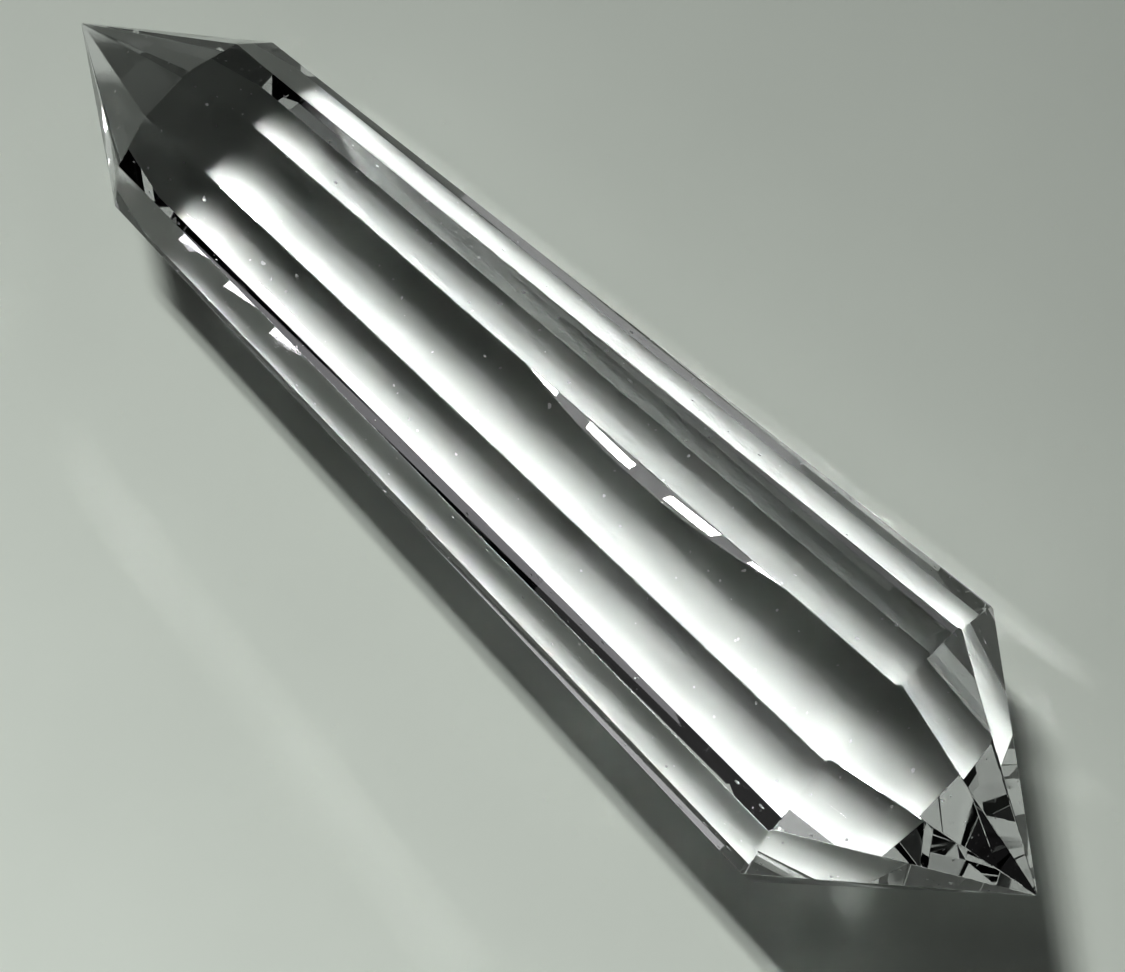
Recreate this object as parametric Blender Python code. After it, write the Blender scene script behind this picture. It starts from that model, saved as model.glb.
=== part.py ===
"""Twelve-sided clear quartz wand, pointed at both ends, lying on one of its long facets."""

import bmesh
import bpy
from math import atan2, cos, pi, radians, sin
from mathutils import Matrix, Vector

# Driving dimensions, in metres and degrees
SIDES = 12
WIDE_RADIUS = 0.01500
NARROW_RADIUS = 0.01035
BODY_LENGTH = 0.07980
WIDE_TIP_LENGTH = 0.01755
NARROW_TIP_LENGTH = 0.01650

# Hand-cut irregularity: the wide point is turned against the body and stands off its axis
WIDE_POINT_TURN = 1.5
WIDE_POINT_OFFSET = 0.00024
NARROW_POINT_TURN = 0.0
NARROW_POINT_OFFSET = 0.0

# Depth polished off each long corner, which leaves a narrow flat of about a tenth of a millimetre
CORNER_POLISH = 0.000012

# Distance at which a corner counts as lying on a cutting plane
ON_PLANE = 1.0e-7

CRYSTAL_IOR = 1.544
CRYSTAL_TINT = (0.985, 0.992, 0.990, 1.0)
CRYSTAL_ROUGHNESS = 0.01


def clear_scene():
    """Remove everything the scene starts with."""
    for item in list(bpy.data.objects):
        bpy.data.objects.remove(item, do_unlink=True)


def quartz_material():
    """Clear, colourless, polished quartz."""
    material = bpy.data.materials.new("clear_quartz")
    material.use_nodes = True
    shader = material.node_tree.nodes["Principled BSDF"]
    shader.inputs["Base Color"].default_value = CRYSTAL_TINT
    shader.inputs["Roughness"].default_value = CRYSTAL_ROUGHNESS
    shader.inputs["IOR"].default_value = CRYSTAL_IOR
    shader.inputs["Transmission Weight"].default_value = 1.0
    return material


def blank():
    """A block of rough crystal, larger than the finished wand on every side."""
    mesh = bmesh.new()
    bmesh.ops.create_cube(mesh, size=1.0)
    reach = BODY_LENGTH + 2.0 * (WIDE_TIP_LENGTH + NARROW_TIP_LENGTH)
    width = 4.0 * WIDE_RADIUS
    bmesh.ops.scale(mesh, vec=Vector((reach, width, width)), verts=mesh.verts)
    return mesh


def grind(mesh, point, outward):
    """Cut one flat facet: keep what lies behind the plane and close the cut."""
    everything = list(mesh.verts) + list(mesh.edges) + list(mesh.faces)
    cut = bmesh.ops.bisect_plane(
        mesh,
        geom=everything,
        dist=ON_PLANE,
        plane_co=point,
        plane_no=outward.normalized(),
        clear_outer=True,
    )
    rim = [item for item in cut["geom_cut"] if isinstance(item, bmesh.types.BMEdge)]
    rim = [edge for edge in rim if edge.is_boundary]
    if rim:
        bmesh.ops.edgeloop_fill(mesh, edges=rim)


def around(angle, along=0.0):
    """Direction square to the axis at an angle from straight up, leaned along the axis."""
    return Vector((along, sin(angle), cos(angle)))


def grind_body(mesh):
    """The long facets: a twelve-sided taper from the wide shoulder to the narrow one."""
    half_step = pi / SIDES
    to_flat = cos(half_step)
    mid_radius = 0.5 * (WIDE_RADIUS + NARROW_RADIUS)
    slope = (WIDE_RADIUS - NARROW_RADIUS) / BODY_LENGTH
    for side in range(SIDES):
        angle = 2.0 * half_step * side
        grind(mesh, around(angle) * mid_radius * to_flat, around(angle, -slope * to_flat))
    for side in range(SIDES):
        angle = 2.0 * half_step * side + half_step
        grind(mesh, around(angle) * (mid_radius - CORNER_POLISH), around(angle, -slope))


def grind_point(mesh, sense, radius, length, turn, offset):
    """The facets of one point, which all meet at its tip."""
    half_step = pi / SIDES
    tip = Vector((sense * (0.5 * BODY_LENGTH + length), offset, 0.0))
    for side in range(SIDES):
        angle = 2.0 * half_step * side + radians(turn)
        reach = radius * cos(half_step) - offset * sin(angle)
        grind(mesh, tip, around(angle, sense * reach / length))


def lay_down(mesh):
    """Rest the wand on its lowest long facet, with the middle of its box over the origin."""
    slope = (WIDE_RADIUS - NARROW_RADIUS) * cos(pi / SIDES) / BODY_LENGTH
    turn = Matrix.Rotation(-atan2(slope, 1.0), 3, "Y")
    bmesh.ops.rotate(mesh, cent=Vector(), matrix=turn, verts=mesh.verts)
    low = Vector([min(v.co[axis] for v in mesh.verts) for axis in range(3)])
    high = Vector([max(v.co[axis] for v in mesh.verts) for axis in range(3)])
    middle = 0.5 * (low + high)
    shift = Vector((-middle.x, -middle.y, -low.z))
    bmesh.ops.translate(mesh, vec=shift, verts=mesh.verts)


def build_wand():
    """Grind the whole wand out of one blank and give it its material."""
    mesh = blank()
    grind_body(mesh)
    grind_point(mesh, 1.0, WIDE_RADIUS, WIDE_TIP_LENGTH, WIDE_POINT_TURN, WIDE_POINT_OFFSET)
    grind_point(
        mesh, -1.0, NARROW_RADIUS, NARROW_TIP_LENGTH, NARROW_POINT_TURN, NARROW_POINT_OFFSET
    )
    lay_down(mesh)
    bmesh.ops.recalc_face_normals(mesh, faces=mesh.faces)
    data = bpy.data.meshes.new("quartz_wand")
    mesh.to_mesh(data)
    mesh.free()
    data.materials.append(quartz_material())
    wand = bpy.data.objects.new("quartz_wand", data)
    bpy.context.scene.collection.objects.link(wand)
    return wand


def main():
    clear_scene()
    build_wand()


main()
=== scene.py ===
"""Clear quartz wand lying on a pale table: the polished crystal, its finish and its stage.

Laid out as an add-on: sizes and finishes are property groups, each piece has its operator,
and one panel in the 3D view's sidebar lists them. All lengths are metres in the part's frame.
"""

import math

import bmesh
import bpy
from bpy.props import (
    FloatProperty,
    FloatVectorProperty,
    IntProperty,
    PointerProperty,
)
from bpy.types import Operator, Panel, PropertyGroup
from mathutils import Matrix, Vector


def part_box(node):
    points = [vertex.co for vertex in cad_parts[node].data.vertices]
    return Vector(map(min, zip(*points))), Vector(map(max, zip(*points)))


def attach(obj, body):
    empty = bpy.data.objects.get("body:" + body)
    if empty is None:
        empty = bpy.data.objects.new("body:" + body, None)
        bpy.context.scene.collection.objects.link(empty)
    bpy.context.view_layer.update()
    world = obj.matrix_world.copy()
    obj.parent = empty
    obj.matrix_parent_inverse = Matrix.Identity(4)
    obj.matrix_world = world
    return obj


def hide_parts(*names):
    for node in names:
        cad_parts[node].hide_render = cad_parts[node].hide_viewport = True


bl_info = {
    "name": "Faceted quartz wand",
    "version": (1, 0, 0),
    "blender": (4, 2, 0),
    "location": "View3D > Sidebar > Quartz wand",
    "description": "Grinds and polishes a twelve-sided clear quartz wand and sets it on a pale table",
    "category": "Add Mesh",
}

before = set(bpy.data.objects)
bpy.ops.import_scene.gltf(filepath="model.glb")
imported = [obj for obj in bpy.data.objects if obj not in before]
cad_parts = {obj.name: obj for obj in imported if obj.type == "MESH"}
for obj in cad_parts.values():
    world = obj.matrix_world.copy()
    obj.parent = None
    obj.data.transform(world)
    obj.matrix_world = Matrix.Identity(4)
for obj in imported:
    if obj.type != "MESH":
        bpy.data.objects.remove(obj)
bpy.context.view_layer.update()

# The photograph's width, in pixels
FRAME_WIDTH = 1125

# Half of the pale sheet's side
SHEET_HALF = 2.0
# Beyond the wand, the sheet's painted light falloff changes its tone no further than this power of e.
# The falloff is a colour ramp standing in for light that weakens across the table.
PAINTED_FALLOFF_LIMIT = 0.45
CLOUD_SCALE = 30.0
CLOUD_DETAIL = 3.0
CLOUD_STRENGTH = 0.1

# The long taper runs past each shoulder by the wide tip's length and this, so that the
# points end it
SPARE_LENGTH = 0.002
# Corners closer than this are one corner, and facets turned less than this are one facet
SAME_CORNER = 2.0e-6
SAME_FACET = math.radians(0.05)

# Softness of the worn patch's edge and of the comb's ends
WORN_EDGE = 0.002
COMB_EDGE = 0.02
# The comb's facet, in facets from the top one, and its stretch along the wand
COMB_FACET = -2.0
COMB_START, COMB_END, COMB_FADE = 0.004, 0.030, 0.010
# How the comb's marks slant around the wand and sway along it
COMB_SLANT = 6.0
COMB_SWAY = 700.0

# Uneven polish: size of its patches, where it starts, and how much rougher it gets
WEAR_SCALE = 420.0
WEAR_START, WEAR_FULL = 0.62, 0.85
WEAR_ROUGHNESS = 0.03
SPECK_ROUGHNESS = 0.6
# Speck radius times the scale of the noise that makes the specks
SPECK_GRAIN = 0.1

# The diffuser around the near lamp's spots, and how far above them it is
DIFFUSER_LENGTH, DIFFUSER_WIDTH = 0.130, 0.036
DIFFUSER_GAP = 0.002
# One ceiling lamp, and the bar's columns, rows and pitch
CEILING_LAMP_LENGTH, CEILING_LAMP_WIDTH = 0.018, 0.004
CEILING_COUNTS = (3, 2)
CEILING_PITCH = (0.033, 0.008)
WINDOW_DISTANCE = 1.5
SENSOR_WIDTH = 36.0
NEAREST_SEEN = 0.001

# How often light is followed through glass, off mirrors and off matt surfaces
GLASS_BOUNCES = 10
MIRROR_BOUNCES = 6
MATT_BOUNCES = 2
# Samples in which the renderer learns where the light under the wand comes from
LEARNING_SAMPLES = 12


# Sizes and finishes that a user would change

class WandCut(PropertyGroup):
    """How the wand is cut."""

    sides: IntProperty(
        name="Sides",
        description="Long facets around the wand",
        default=12,
        min=6,
        max=24,
    )
    wide_radius: FloatProperty(
        name="Wide shoulder radius",
        description="Axis to corner at the wide shoulder",
        default=0.01500,
        unit="LENGTH",
    )
    narrow_radius: FloatProperty(
        name="Narrow shoulder radius",
        description="Axis to corner at the narrow shoulder",
        default=0.01035,
        unit="LENGTH",
    )
    body_length: FloatProperty(
        name="Body length",
        description="Between the two shoulders",
        default=0.07980,
        unit="LENGTH",
    )
    wide_tip_length: FloatProperty(
        name="Wide point length",
        description="Wide shoulder to its tip",
        default=0.01755,
        unit="LENGTH",
    )
    narrow_tip_length: FloatProperty(
        name="Narrow point length",
        description="Narrow shoulder to its tip",
        default=0.01650,
        unit="LENGTH",
    )
    wide_point_turn: FloatProperty(
        name="Wide point turn",
        description="How far the wide point's facets are turned against the long ones",
        default=math.radians(1.5),
        subtype="ANGLE",
        unit="ROTATION",
    )
    wide_point_offset: FloatProperty(
        name="Wide point offset",
        description="How far the wide tip stands off the axis",
        default=0.00024,
        unit="LENGTH",
    )
    ridge_flat: FloatProperty(
        name="Polished ridge",
        description="Width of the narrow flat that polishing leaves on every ridge",
        default=0.00007,
        unit="LENGTH",
    )


class QuartzFinish(PropertyGroup):
    """What the polished crystal looks like."""

    ior: FloatProperty(
        name="Refractive index",
        description="Refractive index of quartz",
        default=1.544,
    )
    tint: FloatVectorProperty(
        name="Surface tint",
        description="Colour that light keeps after going in and out through two facets",
        default=(0.882, 0.870, 0.899),
        subtype="COLOR",
        size=3,
    )
    body_colour: FloatVectorProperty(
        name="Body colour",
        description="Colour that light keeps on its way through the crystal",
        default=(0.49, 0.50, 0.495),
        subtype="COLOR",
        size=3,
    )
    body_density: FloatProperty(
        name="Body density",
        description="How fast the crystal takes colour out of light, per metre",
        default=3.0,
    )
    polish: FloatProperty(
        name="Polish roughness",
        description="Roughness of the best polished parts",
        default=0.003,
    )
    comb_pitch: FloatProperty(
        name="Comb pitch",
        description="Spacing of the fine marks that the lap left across one low facet",
        default=0.00046,
        unit="LENGTH",
    )
    comb_depth: FloatProperty(
        name="Comb depth",
        description="Depth of those marks",
        default=0.0000005,
        unit="LENGTH",
    )
    worn_width: FloatProperty(
        name="Worn ridge width",
        description="Widest part of the thin worn patch beside one upper ridge",
        default=0.00125,
        unit="LENGTH",
    )
    worn_length: FloatProperty(
        name="Worn ridge length",
        description="Length of the worn patch along the ridge",
        default=0.0280,
        unit="LENGTH",
    )
    worn_middle: FloatProperty(
        name="Worn ridge middle",
        description="Middle of the worn patch along the wand, from the middle of the body",
        default=0.0145,
        unit="LENGTH",
    )
    worn_slope: FloatProperty(
        name="Worn ridge slope",
        description="How much the worn patch leans away from its facet",
        default=0.055,
    )
    worn_curve: FloatProperty(
        name="Worn ridge curve",
        description="How much the lean grows across the worn patch, per metre",
        default=8.0,
    )
    speck_size: FloatProperty(
        name="Speck size",
        description="Radius of the dust specks and pits on the facets",
        default=0.00006,
        unit="LENGTH",
    )
    speck_rarity: FloatProperty(
        name="Speck rarity",
        description="How rare the specks are, from 0.5 for half of the surface to 1 for none",
        default=0.84,
    )


class TableStage(PropertyGroup):
    """The table, the light and the camera."""

    floor_colour: FloatVectorProperty(
        name="Table colour",
        description="Colour of the pale table",
        default=(0.619, 0.672, 0.604),
        subtype="COLOR",
        size=3,
    )
    # Painted light falloff: a colour ramp on the table, lighter towards +X and -Y, standing in for
    # light that weakens across it
    floor_painted_falloff: FloatVectorProperty(
        name="Table tone fall",
        description="How the table's tone changes along +X and +Y, per metre, as a power of e",
        default=(3.0, -6.6),
        size=2,
    )
    glass_thickness: FloatProperty(
        name="Table glass",
        description="Height of the clear table top above the pale sheet below it",
        default=0.00235,
        unit="LENGTH",
    )
    lamp_place: FloatVectorProperty(
        name="Lamp place",
        description="Middle of the lamp head",
        default=(-0.1245, 0.066, 0.360),
        subtype="TRANSLATION",
        unit="LENGTH",
        size=3,
    )
    lamp_columns: IntProperty(
        name="Lamp columns",
        description="Light spots of the lamp head along the wand",
        default=5,
        min=1,
    )
    lamp_rows: IntProperty(
        name="Lamp rows",
        description="Light spots of the lamp head across the wand",
        default=2,
        min=1,
    )
    lamp_pitch: FloatVectorProperty(
        name="Lamp pitch",
        description="Distance between light spots along and across the wand",
        default=(0.021, 0.018),
        unit="LENGTH",
        size=2,
    )
    lamp_spot: FloatVectorProperty(
        name="Lamp spot",
        description="Length and width of one light spot",
        default=(0.012, 0.009),
        unit="LENGTH",
        size=2,
    )
    lamp_power: FloatProperty(
        name="Lamp power",
        description="Power of the whole lamp head in watts",
        default=1.05,
    )
    lamp_glow: FloatProperty(
        name="Lamp glow",
        description="Brightness of the diffuser around the light spots",
        default=3.0,
    )
    ceiling_bar: FloatVectorProperty(
        name="Ceiling bar",
        description="Middle of the bar of small ceiling lamps that sparkle in the far side facets",
        default=(-0.2520, 0.0910, 1.000),
        subtype="TRANSLATION",
        unit="LENGTH",
        size=3,
    )
    ceiling_turn: FloatProperty(
        name="Ceiling bar turn",
        description="Turn of the ceiling bar from the wand's direction",
        default=math.radians(-12.3),
        subtype="ANGLE",
        unit="ROTATION",
    )
    ceiling_glow: FloatProperty(
        name="Ceiling lamp brightness",
        description="Brightness of one small ceiling lamp",
        default=40.0,
    )
    room_light: FloatProperty(
        name="Room light",
        description="Brightness of the dim room around the table",
        default=0.008,
    )
    window_size: FloatVectorProperty(
        name="Window size",
        description="Width and height of each soft window",
        default=(1.4, 0.45),
        unit="LENGTH",
        size=2,
    )
    low_window: FloatVectorProperty(
        name="Low window",
        description="Azimuth, elevation and brightness of the soft window on the wand's near side",
        default=(275.0, 33.0, 0.45),
        size=3,
    )
    high_window: FloatVectorProperty(
        name="High window",
        description="Azimuth, elevation and brightness of the soft window on the far side",
        default=(64.0, 34.0, 0.22),
        size=3,
    )
    print_gamma: FloatProperty(
        name="Print contrast",
        description="Gamma of the finished picture; below 1 deepens the darks",
        default=1.0,
    )
    camera_azimuth: FloatProperty(
        name="Camera azimuth",
        description="Camera direction from the wand, from +X towards +Y",
        default=math.radians(347.64),
        subtype="ANGLE",
        unit="ROTATION",
    )
    camera_elevation: FloatProperty(
        name="Camera elevation",
        description="Camera height above the table",
        default=math.radians(77.65),
        subtype="ANGLE",
        unit="ROTATION",
    )
    camera_roll: FloatProperty(
        name="Camera roll",
        description="Turn of the camera about its own line of sight",
        default=math.radians(-34.58),
        subtype="ANGLE",
        unit="ROTATION",
    )
    camera_distance: FloatProperty(
        name="Camera distance",
        description="Camera to the point it looks at",
        default=0.20529,
        unit="LENGTH",
    )
    camera_target: FloatVectorProperty(
        name="Camera target",
        description="Point that the camera looks at",
        default=(0.00638, -0.00146, 0.015),
        subtype="TRANSLATION",
        unit="LENGTH",
        size=3,
    )
    focal_pixels: FloatProperty(
        name="Focal length in pixels",
        description="Focal length at the photograph's full width",
        default=2475.0,
    )


# Small helpers

def direction(azimuth, elevation):
    """Unit vector at an azimuth from +X towards +Y and an elevation above the table."""
    level = math.cos(elevation)
    return Vector((level * math.cos(azimuth), level * math.sin(azimuth), math.sin(elevation)))


def add_object(name, data):
    """Put an object into the scene."""
    item = bpy.data.objects.new(name, data)
    bpy.context.scene.collection.objects.link(item)
    return item


def new_material(name):
    """A node material with no nodes yet."""
    material = bpy.data.materials.new(name)
    material.use_nodes = True
    material.node_tree.nodes.clear()
    return material


def feed(tree, node, values):
    """Give a node's first inputs their values, each a number or another node's socket."""
    for socket, value in zip(node.inputs, values):
        if isinstance(value, bpy.types.NodeSocket):
            tree.links.new(value, socket)
        else:
            socket.default_value = value
    return node.outputs[0]


def math_node(tree, operation, first, second=0.0):
    """A Math node's result."""
    node = tree.nodes.new("ShaderNodeMath")
    node.operation = operation
    return feed(tree, node, (first, second))


# The wand's shape

def cutting_tree():
    """Geometry Nodes tree that grinds the wand: one long taper cut by two points."""
    tree = bpy.data.node_groups.new("grind_wand", "GeometryNodeTree")
    face = tree.interface
    face.new_socket("Geometry", in_out="OUTPUT", socket_type="NodeSocketGeometry")
    face.new_socket("Sides", in_out="INPUT", socket_type="NodeSocketInt")
    for name in (
        "Wide Radius",
        "Narrow Radius",
        "Body Length",
        "Wide Tip",
        "Narrow Tip",
        "Wide Turn",
        "Wide Offset",
    ):
        face.new_socket(name, in_out="INPUT", socket_type="NodeSocketFloat")
    face.new_socket("Material", in_out="INPUT", socket_type="NodeSocketMaterial")
    nodes, links = tree.nodes, tree.links
    given = nodes.new("NodeGroupInput").outputs
    result = nodes.new("NodeGroupOutput")

    def number(operation, first, second):
        return math_node(tree, operation, first, second)

    def vector(x, y, z):
        return feed(tree, nodes.new("ShaderNodeCombineXYZ"), (x, y, z))

    half_step = number("DIVIDE", math.pi, given["Sides"])

    def taper(low_radius, high_radius, depth, start):
        """A many-sided cone along +Z that starts at a height, one facet facing +X."""
        cone = nodes.new("GeometryNodeMeshCone")
        cone.fill_type = "NGON"
        links.new(given["Sides"], cone.inputs["Vertices"])
        links.new(low_radius, cone.inputs["Radius Bottom"])
        if high_radius is None:
            cone.inputs["Radius Top"].default_value = 0.0
        else:
            links.new(high_radius, cone.inputs["Radius Top"])
        links.new(depth, cone.inputs["Depth"])
        place = nodes.new("GeometryNodeTransform")
        links.new(cone.outputs["Mesh"], place.inputs["Geometry"])
        links.new(vector(0.0, 0.0, start), place.inputs["Translation"])
        links.new(vector(0.0, 0.0, half_step), place.inputs["Rotation"])
        return place.outputs["Geometry"]

    def turned(geometry, rotation):
        """A geometry turned about the origin."""
        place = nodes.new("GeometryNodeTransform")
        links.new(geometry, place.inputs["Geometry"])
        links.new(rotation, place.inputs["Rotation"])
        return place.outputs["Geometry"]

    half = number("MULTIPLY", given["Body Length"], 0.5)
    slope = number(
        "DIVIDE",
        number("SUBTRACT", given["Wide Radius"], given["Narrow Radius"]),
        given["Body Length"],
    )
    over = number("ADD", given["Wide Tip"], SPARE_LENGTH)
    spare = number("MULTIPLY", over, slope)
    long_start = number("MULTIPLY", number("ADD", half, over), -1.0)
    long_depth = number("ADD", given["Body Length"], number("MULTIPLY", over, 2.0))
    body = taper(
        number("SUBTRACT", given["Narrow Radius"], spare),
        number("ADD", given["Wide Radius"], spare),
        long_depth,
        long_start,
    )

    def point(radius, tip, other_tip):
        """A pyramid over one shoulder, deep enough to hold the whole wand."""
        foot = number("ADD", number("MULTIPLY", other_tip, 2.0), given["Body Length"])
        depth = number("ADD", tip, foot)
        base = number("DIVIDE", number("MULTIPLY", radius, depth), tip)
        return taper(base, None, depth, number("SUBTRACT", half, foot))

    wide_point = turned(
        point(given["Wide Radius"], given["Wide Tip"], given["Narrow Tip"]),
        vector(0.0, 0.0, number("MULTIPLY", given["Wide Turn"], -1.0)),
    )
    above_shoulder = nodes.new("ShaderNodeSeparateXYZ")
    links.new(nodes.new("GeometryNodeInputPosition").outputs[0], above_shoulder.inputs[0])
    lean = number("DIVIDE", given["Wide Offset"], given["Wide Tip"])
    aside = number("MULTIPLY", number("SUBTRACT", above_shoulder.outputs["Z"], half), lean)
    leaned = nodes.new("GeometryNodeSetPosition")
    links.new(wide_point, leaned.inputs["Geometry"])
    links.new(vector(0.0, aside, 0.0), leaned.inputs["Offset"])
    wide_point = leaned.outputs["Geometry"]

    narrow_point = turned(
        point(given["Narrow Radius"], given["Narrow Tip"], given["Wide Tip"]),
        vector(math.pi, 0.0, 0.0),
    )

    ground = nodes.new("GeometryNodeMeshBoolean")
    ground.operation = "INTERSECT"
    ground.solver = "EXACT"
    solids = ground.inputs["Mesh 2"]
    links.new(narrow_point, solids)
    links.new(wide_point, solids)
    links.new(body, solids)
    whole = nodes.new("GeometryNodeRealizeInstances")
    links.new(ground.outputs["Mesh"], whole.inputs["Geometry"])
    finish = nodes.new("GeometryNodeSetMaterial")
    links.new(whole.outputs["Geometry"], finish.inputs["Geometry"])
    links.new(given["Material"], finish.inputs["Material"])
    links.new(finish.outputs["Geometry"], result.inputs["Geometry"])
    return tree


def run_tree(tree, name, values):
    """Run a Geometry Nodes tree with named values and keep its result as a plain mesh."""
    carrier = add_object(name + "_carrier", bpy.data.meshes.new(name + "_carrier"))
    modifier = carrier.modifiers.new("nodes", "NODES")
    modifier.node_group = tree
    for item in tree.interface.items_tree:
        if item.in_out == "INPUT":
            modifier[item.identifier] = values[item.name]
    bpy.context.view_layer.update()
    shown = carrier.evaluated_get(bpy.context.evaluated_depsgraph_get())
    mesh = bpy.data.meshes.new_from_object(shown)
    carrier.modifiers.remove(modifier)
    bpy.data.objects.remove(carrier, do_unlink=True)
    mesh.name = name
    return mesh


def facet_lift(cut):
    """Angle between a long facet and the wand's own axis."""
    to_flat = math.cos(math.pi / cut.sides)
    slope = (cut.wide_radius - cut.narrow_radius) * to_flat / cut.body_length
    return math.atan(slope)


def stand_to_lie(cut):
    """Turn that lays the upright wand along X, facet down, as the part's frame has it."""
    along = Matrix.Rotation(0.5 * math.pi, 4, "Y")
    level = Matrix.Rotation(-facet_lift(cut), 4, "Y")
    return level @ along


def lay_on_frame(mesh, low, high):
    """Move a mesh so that its box stands where the part's does; return the body's middle."""
    mine_low = Vector([min(v.co[i] for v in mesh.vertices) for i in range(3)])
    mine_high = Vector([max(v.co[i] for v in mesh.vertices) for i in range(3)])
    shift = 0.5 * (Vector(low) + Vector(high) - mine_low - mine_high)
    shift.z = low[2] - mine_low.z
    mesh.transform(Matrix.Translation(shift))
    return shift


def polish_ridges(mesh, width):
    """Take a hair off every ridge, as polishing does."""
    work = bmesh.new()
    work.from_mesh(mesh)
    bmesh.ops.remove_doubles(work, verts=work.verts, dist=SAME_CORNER)
    bmesh.ops.dissolve_limit(
        work, angle_limit=SAME_FACET, verts=work.verts, edges=work.edges
    )
    bmesh.ops.recalc_face_normals(work, faces=work.faces)
    bmesh.ops.bevel(
        work,
        geom=list(work.edges),
        offset=width,
        offset_type="WIDTH",
        segments=1,
        profile=0.5,
        affect="EDGES",
        clamp_overlap=True,
    )
    bmesh.ops.recalc_face_normals(work, faces=work.faces)
    work.to_mesh(mesh)
    work.free()


# Finishes

def noise(tree, where, scale, detail):
    """Value of a noise texture at a place."""
    node = tree.nodes.new("ShaderNodeTexNoise")
    node.inputs["Scale"].default_value = scale
    node.inputs["Detail"].default_value = detail
    tree.links.new(where, node.inputs["Vector"])
    return node.outputs[0]


def within(tree, value, low, high, soft):
    """1 where a value lies between two limits, 0 outside, with soft ends."""
    rise = tree.nodes.new("ShaderNodeMapRange")
    fall = tree.nodes.new("ShaderNodeMapRange")
    for node, edge, ends in ((rise, low, (0.0, 1.0)), (fall, high, (1.0, 0.0))):
        node.interpolation_type = "SMOOTHSTEP"
        tree.links.new(value, node.inputs["Value"])
        node.inputs["From Min"].default_value = edge - 0.5 * soft
        node.inputs["From Max"].default_value = edge + 0.5 * soft
        node.inputs["To Min"].default_value, node.inputs["To Max"].default_value = ends
    return math_node(tree, "MULTIPLY", rise.outputs[0], fall.outputs[0])


def worn_ridge_height(tree, along, across, angle, cut, finish):
    """The thin worn patch: the top facet falls away towards the ridge beside it."""
    half_step = math.pi / cut.sides
    middle_radius = 0.5 * (cut.wide_radius + cut.narrow_radius)
    slope = (cut.wide_radius - cut.narrow_radius) / cut.body_length
    ridge = math_node(
        tree,
        "ADD",
        math_node(tree, "MULTIPLY", along, slope * math.sin(half_step)),
        middle_radius * math.sin(half_step),
    )
    from_ridge = math_node(tree, "SUBTRACT", ridge, across)
    offset = math_node(
        tree,
        "DIVIDE",
        math_node(tree, "SUBTRACT", along, finish.worn_middle),
        0.5 * finish.worn_length,
    )
    bow = math_node(tree, "SUBTRACT", 1.0, math_node(tree, "MULTIPLY", offset, offset))
    width = math_node(tree, "MULTIPLY", bow, finish.worn_width)
    into = math_node(tree, "MAXIMUM", math_node(tree, "SUBTRACT", width, from_ridge), 0.0)
    bend = math_node(tree, "MULTIPLY", math_node(tree, "MULTIPLY", into, into), finish.worn_curve)
    drop = math_node(tree, "ADD", math_node(tree, "MULTIPLY", into, finish.worn_slope), bend)
    top_facet = within(tree, angle, -half_step, half_step, WORN_EDGE)
    return math_node(tree, "MULTIPLY", math_node(tree, "MULTIPLY", drop, top_facet), -1.0)


def comb_height(tree, along, angle, cut, finish):
    """Fine marks across one low facet on the near side, left by the lap."""
    step = 2.0 * math.pi / cut.sides
    sway = math_node(tree, "SINE", math_node(tree, "MULTIPLY", along, COMB_SWAY))
    wander = math_node(tree, "ADD", math_node(tree, "MULTIPLY", angle, COMB_SLANT), sway)
    turns = math_node(tree, "MULTIPLY", along, 2.0 * math.pi / finish.comb_pitch)
    wave = math_node(tree, "SINE", math_node(tree, "ADD", turns, wander))
    low, high = (COMB_FACET - 0.5) * step, (COMB_FACET + 0.5) * step
    facet = within(tree, angle, low, high, COMB_EDGE)
    stretch = within(tree, along, COMB_START, COMB_END, COMB_FADE)
    share = math_node(tree, "MULTIPLY", facet, stretch)
    depth = math_node(tree, "MULTIPLY", share, finish.comb_depth)
    return math_node(tree, "MULTIPLY", wave, depth)


def speck_mask(tree, where, finish):
    """1 on sparse small dust specks and pits, 0 elsewhere."""
    grain = noise(tree, where, SPECK_GRAIN / finish.speck_size, 0.0)
    return math_node(tree, "GREATER_THAN", grain, finish.speck_rarity)


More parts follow.
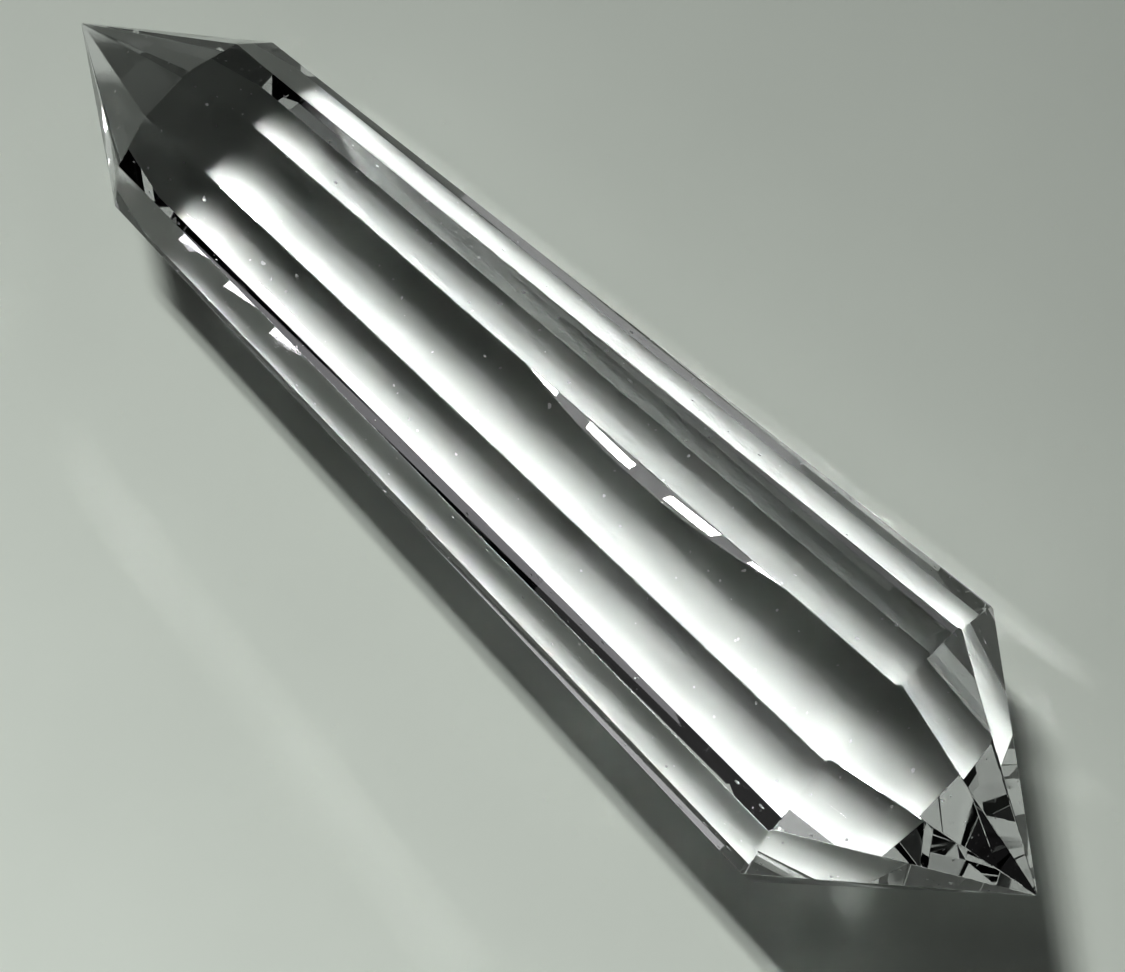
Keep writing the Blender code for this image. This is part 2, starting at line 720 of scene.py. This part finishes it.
def clear_quartz(material, middle, cut, finish):
    """Clear polished quartz: comb marks, one worn ridge, uneven polish and a few specks."""
    tree = material.node_tree
    nodes, links = tree.nodes, tree.links
    output = nodes.new("ShaderNodeOutputMaterial")
    where = nodes.new("ShaderNodeTexCoord").outputs["Object"]

    # Along and around the wand's own axis, from the middle of its body
    lift = facet_lift(cut)
    turn = Matrix.Rotation(lift, 3, "Y")
    own = nodes.new("ShaderNodeMapping")
    own.inputs["Rotation"].default_value = (0.0, lift, 0.0)
    own.inputs["Location"].default_value = turn @ middle * -1.0
    links.new(where, own.inputs["Vector"])
    parts = nodes.new("ShaderNodeSeparateXYZ")
    links.new(own.outputs[0], parts.inputs[0])
    along = parts.outputs["X"]
    angle = math_node(tree, "ARCTAN2", parts.outputs["Y"], parts.outputs["Z"])

    worn = worn_ridge_height(tree, along, parts.outputs["Y"], angle, cut, finish)
    comb = comb_height(tree, along, angle, cut, finish)
    height = math_node(tree, "ADD", worn, comb)
    bump = nodes.new("ShaderNodeBump")
    bump.inputs["Strength"].default_value = 1.0
    bump.inputs["Distance"].default_value = 1.0
    links.new(height, bump.inputs["Height"])

    wear = nodes.new("ShaderNodeMapRange")
    wear.inputs["From Min"].default_value = WEAR_START
    wear.inputs["From Max"].default_value = WEAR_FULL
    wear.inputs["To Min"].default_value = finish.polish
    wear.inputs["To Max"].default_value = finish.polish + WEAR_ROUGHNESS
    links.new(noise(tree, where, WEAR_SCALE, 0.0), wear.inputs["Value"])
    specks = math_node(tree, "MULTIPLY", speck_mask(tree, where, finish), SPECK_ROUGHNESS)
    rough = math_node(tree, "MAXIMUM", wear.outputs[0], specks)

    surface = nodes.new("ShaderNodeBsdfPrincipled")
    surface.inputs["Base Color"].default_value = (*finish.tint, 1.0)
    surface.inputs["IOR"].default_value = finish.ior
    surface.inputs["Transmission Weight"].default_value = 1.0
    links.new(rough, surface.inputs["Roughness"])
    links.new(bump.outputs[0], surface.inputs["Normal"])
    links.new(surface.outputs[0], output.inputs["Surface"])

    body = nodes.new("ShaderNodeVolumeAbsorption")
    body.inputs["Color"].default_value = (*finish.body_colour, 1.0)
    body.inputs["Density"].default_value = finish.body_density
    links.new(body.outputs[0], output.inputs["Volume"])


def pale_sheet(stage):
    """The matt pale sheet, a little cloudy, with painted light falloff: its colour darkens gently
    towards one side, as if the light weakened there.
    """
    material = new_material("pale_table_sheet")
    tree = material.node_tree
    nodes, links = tree.nodes, tree.links
    output = nodes.new("ShaderNodeOutputMaterial")
    where = nodes.new("ShaderNodeTexCoord").outputs["Object"]
    cloud = noise(tree, where, CLOUD_SCALE, CLOUD_DETAIL)
    place = nodes.new("ShaderNodeSeparateXYZ")
    links.new(where, place.inputs[0])
    # Painted light falloff: the sheet's colour is scaled by a ramp along X and Y, as if the light
    # weakened across the table
    fall = math_node(
        tree,
        "ADD",
        math_node(tree, "MULTIPLY", place.outputs["X"], stage.floor_painted_falloff[0]),
        math_node(tree, "MULTIPLY", place.outputs["Y"], stage.floor_painted_falloff[1]),
    )
    fall = math_node(tree, "MINIMUM", fall, PAINTED_FALLOFF_LIMIT)
    fall = math_node(tree, "MAXIMUM", fall, -PAINTED_FALLOFF_LIMIT)
    uneven = math_node(tree, "MULTIPLY", math_node(tree, "SUBTRACT", cloud, 0.5), CLOUD_STRENGTH)
    factor = math_node(tree, "EXPONENT", math_node(tree, "ADD", fall, uneven))
    tone = nodes.new("ShaderNodeVectorMath")
    tone.operation = "SCALE"
    tone.inputs[0].default_value = stage.floor_colour
    links.new(factor, tone.inputs["Scale"])
    surface = nodes.new("ShaderNodeBsdfPrincipled")
    surface.inputs["Roughness"].default_value = 1.0
    surface.inputs["Specular IOR Level"].default_value = 0.0
    links.new(tone.outputs[0], surface.inputs["Base Color"])
    links.new(surface.outputs[0], output.inputs["Surface"])
    return material


# Operators, one for each piece or group

class QUARTZ_OT_wand(Operator):
    """Grind, polish and finish the crystal wand"""

    bl_idname = "quartz.wand"
    bl_label = "Crystal wand"

    def execute(self, context):
        cut = context.scene.wand_cut
        quartz = new_material("clear_polished_quartz")
        values = {
            "Sides": cut.sides,
            "Wide Radius": cut.wide_radius,
            "Narrow Radius": cut.narrow_radius,
            "Body Length": cut.body_length,
            "Wide Tip": cut.wide_tip_length,
            "Narrow Tip": cut.narrow_tip_length,
            "Wide Turn": cut.wide_point_turn,
            "Wide Offset": cut.wide_point_offset,
            "Material": quartz,
        }
        mesh = run_tree(cutting_tree(), "polished_wand", values)
        if not mesh.polygons:
            raise RuntimeError("the wand's tree made no mesh")
        mesh.transform(stand_to_lie(cut))
        low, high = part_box("quartz_wand")
        middle = lay_on_frame(mesh, low, high)
        polish_ridges(mesh, cut.ridge_flat)
        clear_quartz(quartz, middle, cut, context.scene.quartz_finish)
        wand = add_object("polished_wand", mesh)
        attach(wand, "root")
        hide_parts("quartz_wand")
        return {"FINISHED"}


class QUARTZ_OT_stage(Operator):
    """Set the pale table, the lamps, the windows and the camera"""

    bl_idname = "quartz.stage"
    bl_label = "Table, light and camera"

    def execute(self, context):
        scene = context.scene
        stage = scene.table_stage
        half = SHEET_HALF
        sheet = bpy.data.meshes.new("pale_sheet")
        sheet.from_pydata(
            [(-half, -half, 0), (half, -half, 0), (half, half, 0), (-half, half, 0)],
            [],
            [(0, 1, 2, 3)],
        )
        sheet.materials.append(pale_sheet(stage))
        table = add_object("pale_sheet", sheet)
        table.location.z = -stage.glass_thickness

        lamp_head(stage)
        ceiling_lamps(stage)
        for name, (azimuth, elevation, brightness) in (
            ("low_window", stage.low_window),
            ("high_window", stage.high_window),
        ):
            toward = direction(math.radians(azimuth), math.radians(elevation))
            soft_window(name, toward, stage.window_size, brightness)

        world = bpy.data.worlds.new("dim_room")
        world.use_nodes = True
        ground = world.node_tree.nodes["Background"]
        ground.inputs["Color"].default_value = (1.0, 1.0, 1.0, 1.0)
        ground.inputs["Strength"].default_value = stage.room_light
        scene.world = world

        scene.view_settings.view_transform = "Standard"
        scene.view_settings.look = "None"
        scene.view_settings.gamma = stage.print_gamma
        scene.cycles.max_bounces = GLASS_BOUNCES
        scene.cycles.transmission_bounces = GLASS_BOUNCES
        scene.cycles.glossy_bounces = MIRROR_BOUNCES
        scene.cycles.diffuse_bounces = MATT_BOUNCES
        scene.cycles.caustics_reflective = True
        scene.cycles.caustics_refractive = True
        scene.cycles.blur_glossy = 0.0
        scene.cycles.sample_clamp_indirect = 0.0
        scene.cycles.use_guiding = True
        scene.cycles.guiding_training_samples = LEARNING_SAMPLES
        place_camera(scene, stage)
        return {"FINISHED"}


def flat_light(name, length, width, brightness):
    """A rectangular light of a given brightness."""
    light = bpy.data.lights.new(name, "AREA")
    light.shape = "RECTANGLE"
    light.size = length
    light.size_y = width
    light.energy = brightness * math.pi * length * width
    return light


def spot_rows(name, light, middle, counts, pitch, turn=0.0):
    """Rows of one small light that face the table."""
    columns, rows = counts
    turned = Matrix.Rotation(turn, 3, "Z")
    for column in range(columns):
        for row in range(rows):
            holder = add_object(f"{name}_{column}_{row}", light)
            along = (column - 0.5 * (columns - 1)) * pitch[0]
            across = (row - 0.5 * (rows - 1)) * pitch[1]
            holder.location = Vector(middle) + turned @ Vector((along, across, 0.0))


def lamp_head(stage):
    """A near lamp head: rows of light spots with a dimmer diffuser just above them."""
    counts = (stage.lamp_columns, stage.lamp_rows)
    length, width = stage.lamp_spot
    brightness = stage.lamp_power / (math.pi * length * width * counts[0] * counts[1])
    spot = flat_light("lamp_spot", length, width, brightness)
    spot_rows("lamp_spot", spot, stage.lamp_place, counts, stage.lamp_pitch)
    diffuser = flat_light("lamp_diffuser", DIFFUSER_LENGTH, DIFFUSER_WIDTH, stage.lamp_glow)
    holder = add_object("lamp_diffuser", diffuser)
    holder.location = Vector(stage.lamp_place) + Vector((0.0, 0.0, DIFFUSER_GAP))


def ceiling_lamps(stage):
    """A short bar of small lamps on the ceiling."""
    lamp = flat_light(
        "ceiling_lamp", CEILING_LAMP_LENGTH, CEILING_LAMP_WIDTH, stage.ceiling_glow
    )
    spot_rows(
        "ceiling_lamp",
        lamp,
        stage.ceiling_bar,
        CEILING_COUNTS,
        CEILING_PITCH,
        stage.ceiling_turn,
    )


def soft_window(name, toward, size, brightness):
    """A large soft light some way off that faces the wand."""
    holder = add_object(name, flat_light(name, size[0], size[1], brightness))
    holder.location = toward * WINDOW_DISTANCE
    holder.rotation_euler = toward.to_track_quat("Z", "Y").to_euler()


def place_camera(scene, stage):
    """A camera at the photograph's own viewing angle."""
    view = bpy.data.cameras.new("view")
    view.sensor_fit = "HORIZONTAL"
    view.sensor_width = SENSOR_WIDTH
    view.lens = view.sensor_width * stage.focal_pixels / FRAME_WIDTH
    view.clip_start = NEAREST_SEEN
    camera = add_object("view", view)
    back = direction(stage.camera_azimuth, stage.camera_elevation)
    level = (-back).cross(Vector((0.0, 0.0, 1.0))).normalized()
    upright = level.cross(-back)
    roll_cos = math.cos(stage.camera_roll)
    roll_sin = math.sin(stage.camera_roll)
    right = roll_cos * level + roll_sin * upright
    up = roll_cos * upright - roll_sin * level
    place = Vector(stage.camera_target) + stage.camera_distance * back
    camera.matrix_world = Matrix(
        (
            (right.x, up.x, back.x, place.x),
            (right.y, up.y, back.y, place.y),
            (right.z, up.z, back.z, place.z),
            (0.0, 0.0, 0.0, 1.0),
        )
    )
    scene.camera = camera


class QUARTZ_PT_panel(Panel):
    """Lists the wand's pieces and their settings"""

    bl_label = "Quartz wand"
    bl_space_type = "VIEW_3D"
    bl_region_type = "UI"
    bl_category = "Quartz wand"

    def draw(self, context):
        scene = context.scene
        for operator, group in (
            (QUARTZ_OT_wand, scene.wand_cut),
            (None, scene.quartz_finish),
            (QUARTZ_OT_stage, scene.table_stage),
        ):
            box = self.layout.box()
            if operator is not None:
                box.operator(operator.bl_idname)
            for name in group.__annotations__:
                box.prop(group, name)


CLASSES = (
    WandCut,
    QuartzFinish,
    TableStage,
    QUARTZ_OT_wand,
    QUARTZ_OT_stage,
    QUARTZ_PT_panel,
)
SETTINGS = {
    "wand_cut": WandCut,
    "quartz_finish": QuartzFinish,
    "table_stage": TableStage,
}


def register():
    """Register the classes and put their settings on the scene."""
    for item in CLASSES:
        bpy.utils.register_class(item)
    for name, group in SETTINGS.items():
        setattr(bpy.types.Scene, name, PointerProperty(type=group))


def unregister():
    """Undo register."""
    for name in SETTINGS:
        delattr(bpy.types.Scene, name)
    for item in reversed(CLASSES):
        bpy.utils.unregister_class(item)


def main():
    """Make every piece in order."""
    register()
    bpy.ops.quartz.wand()
    bpy.ops.quartz.stage()


if __name__ == "__main__":
    main()
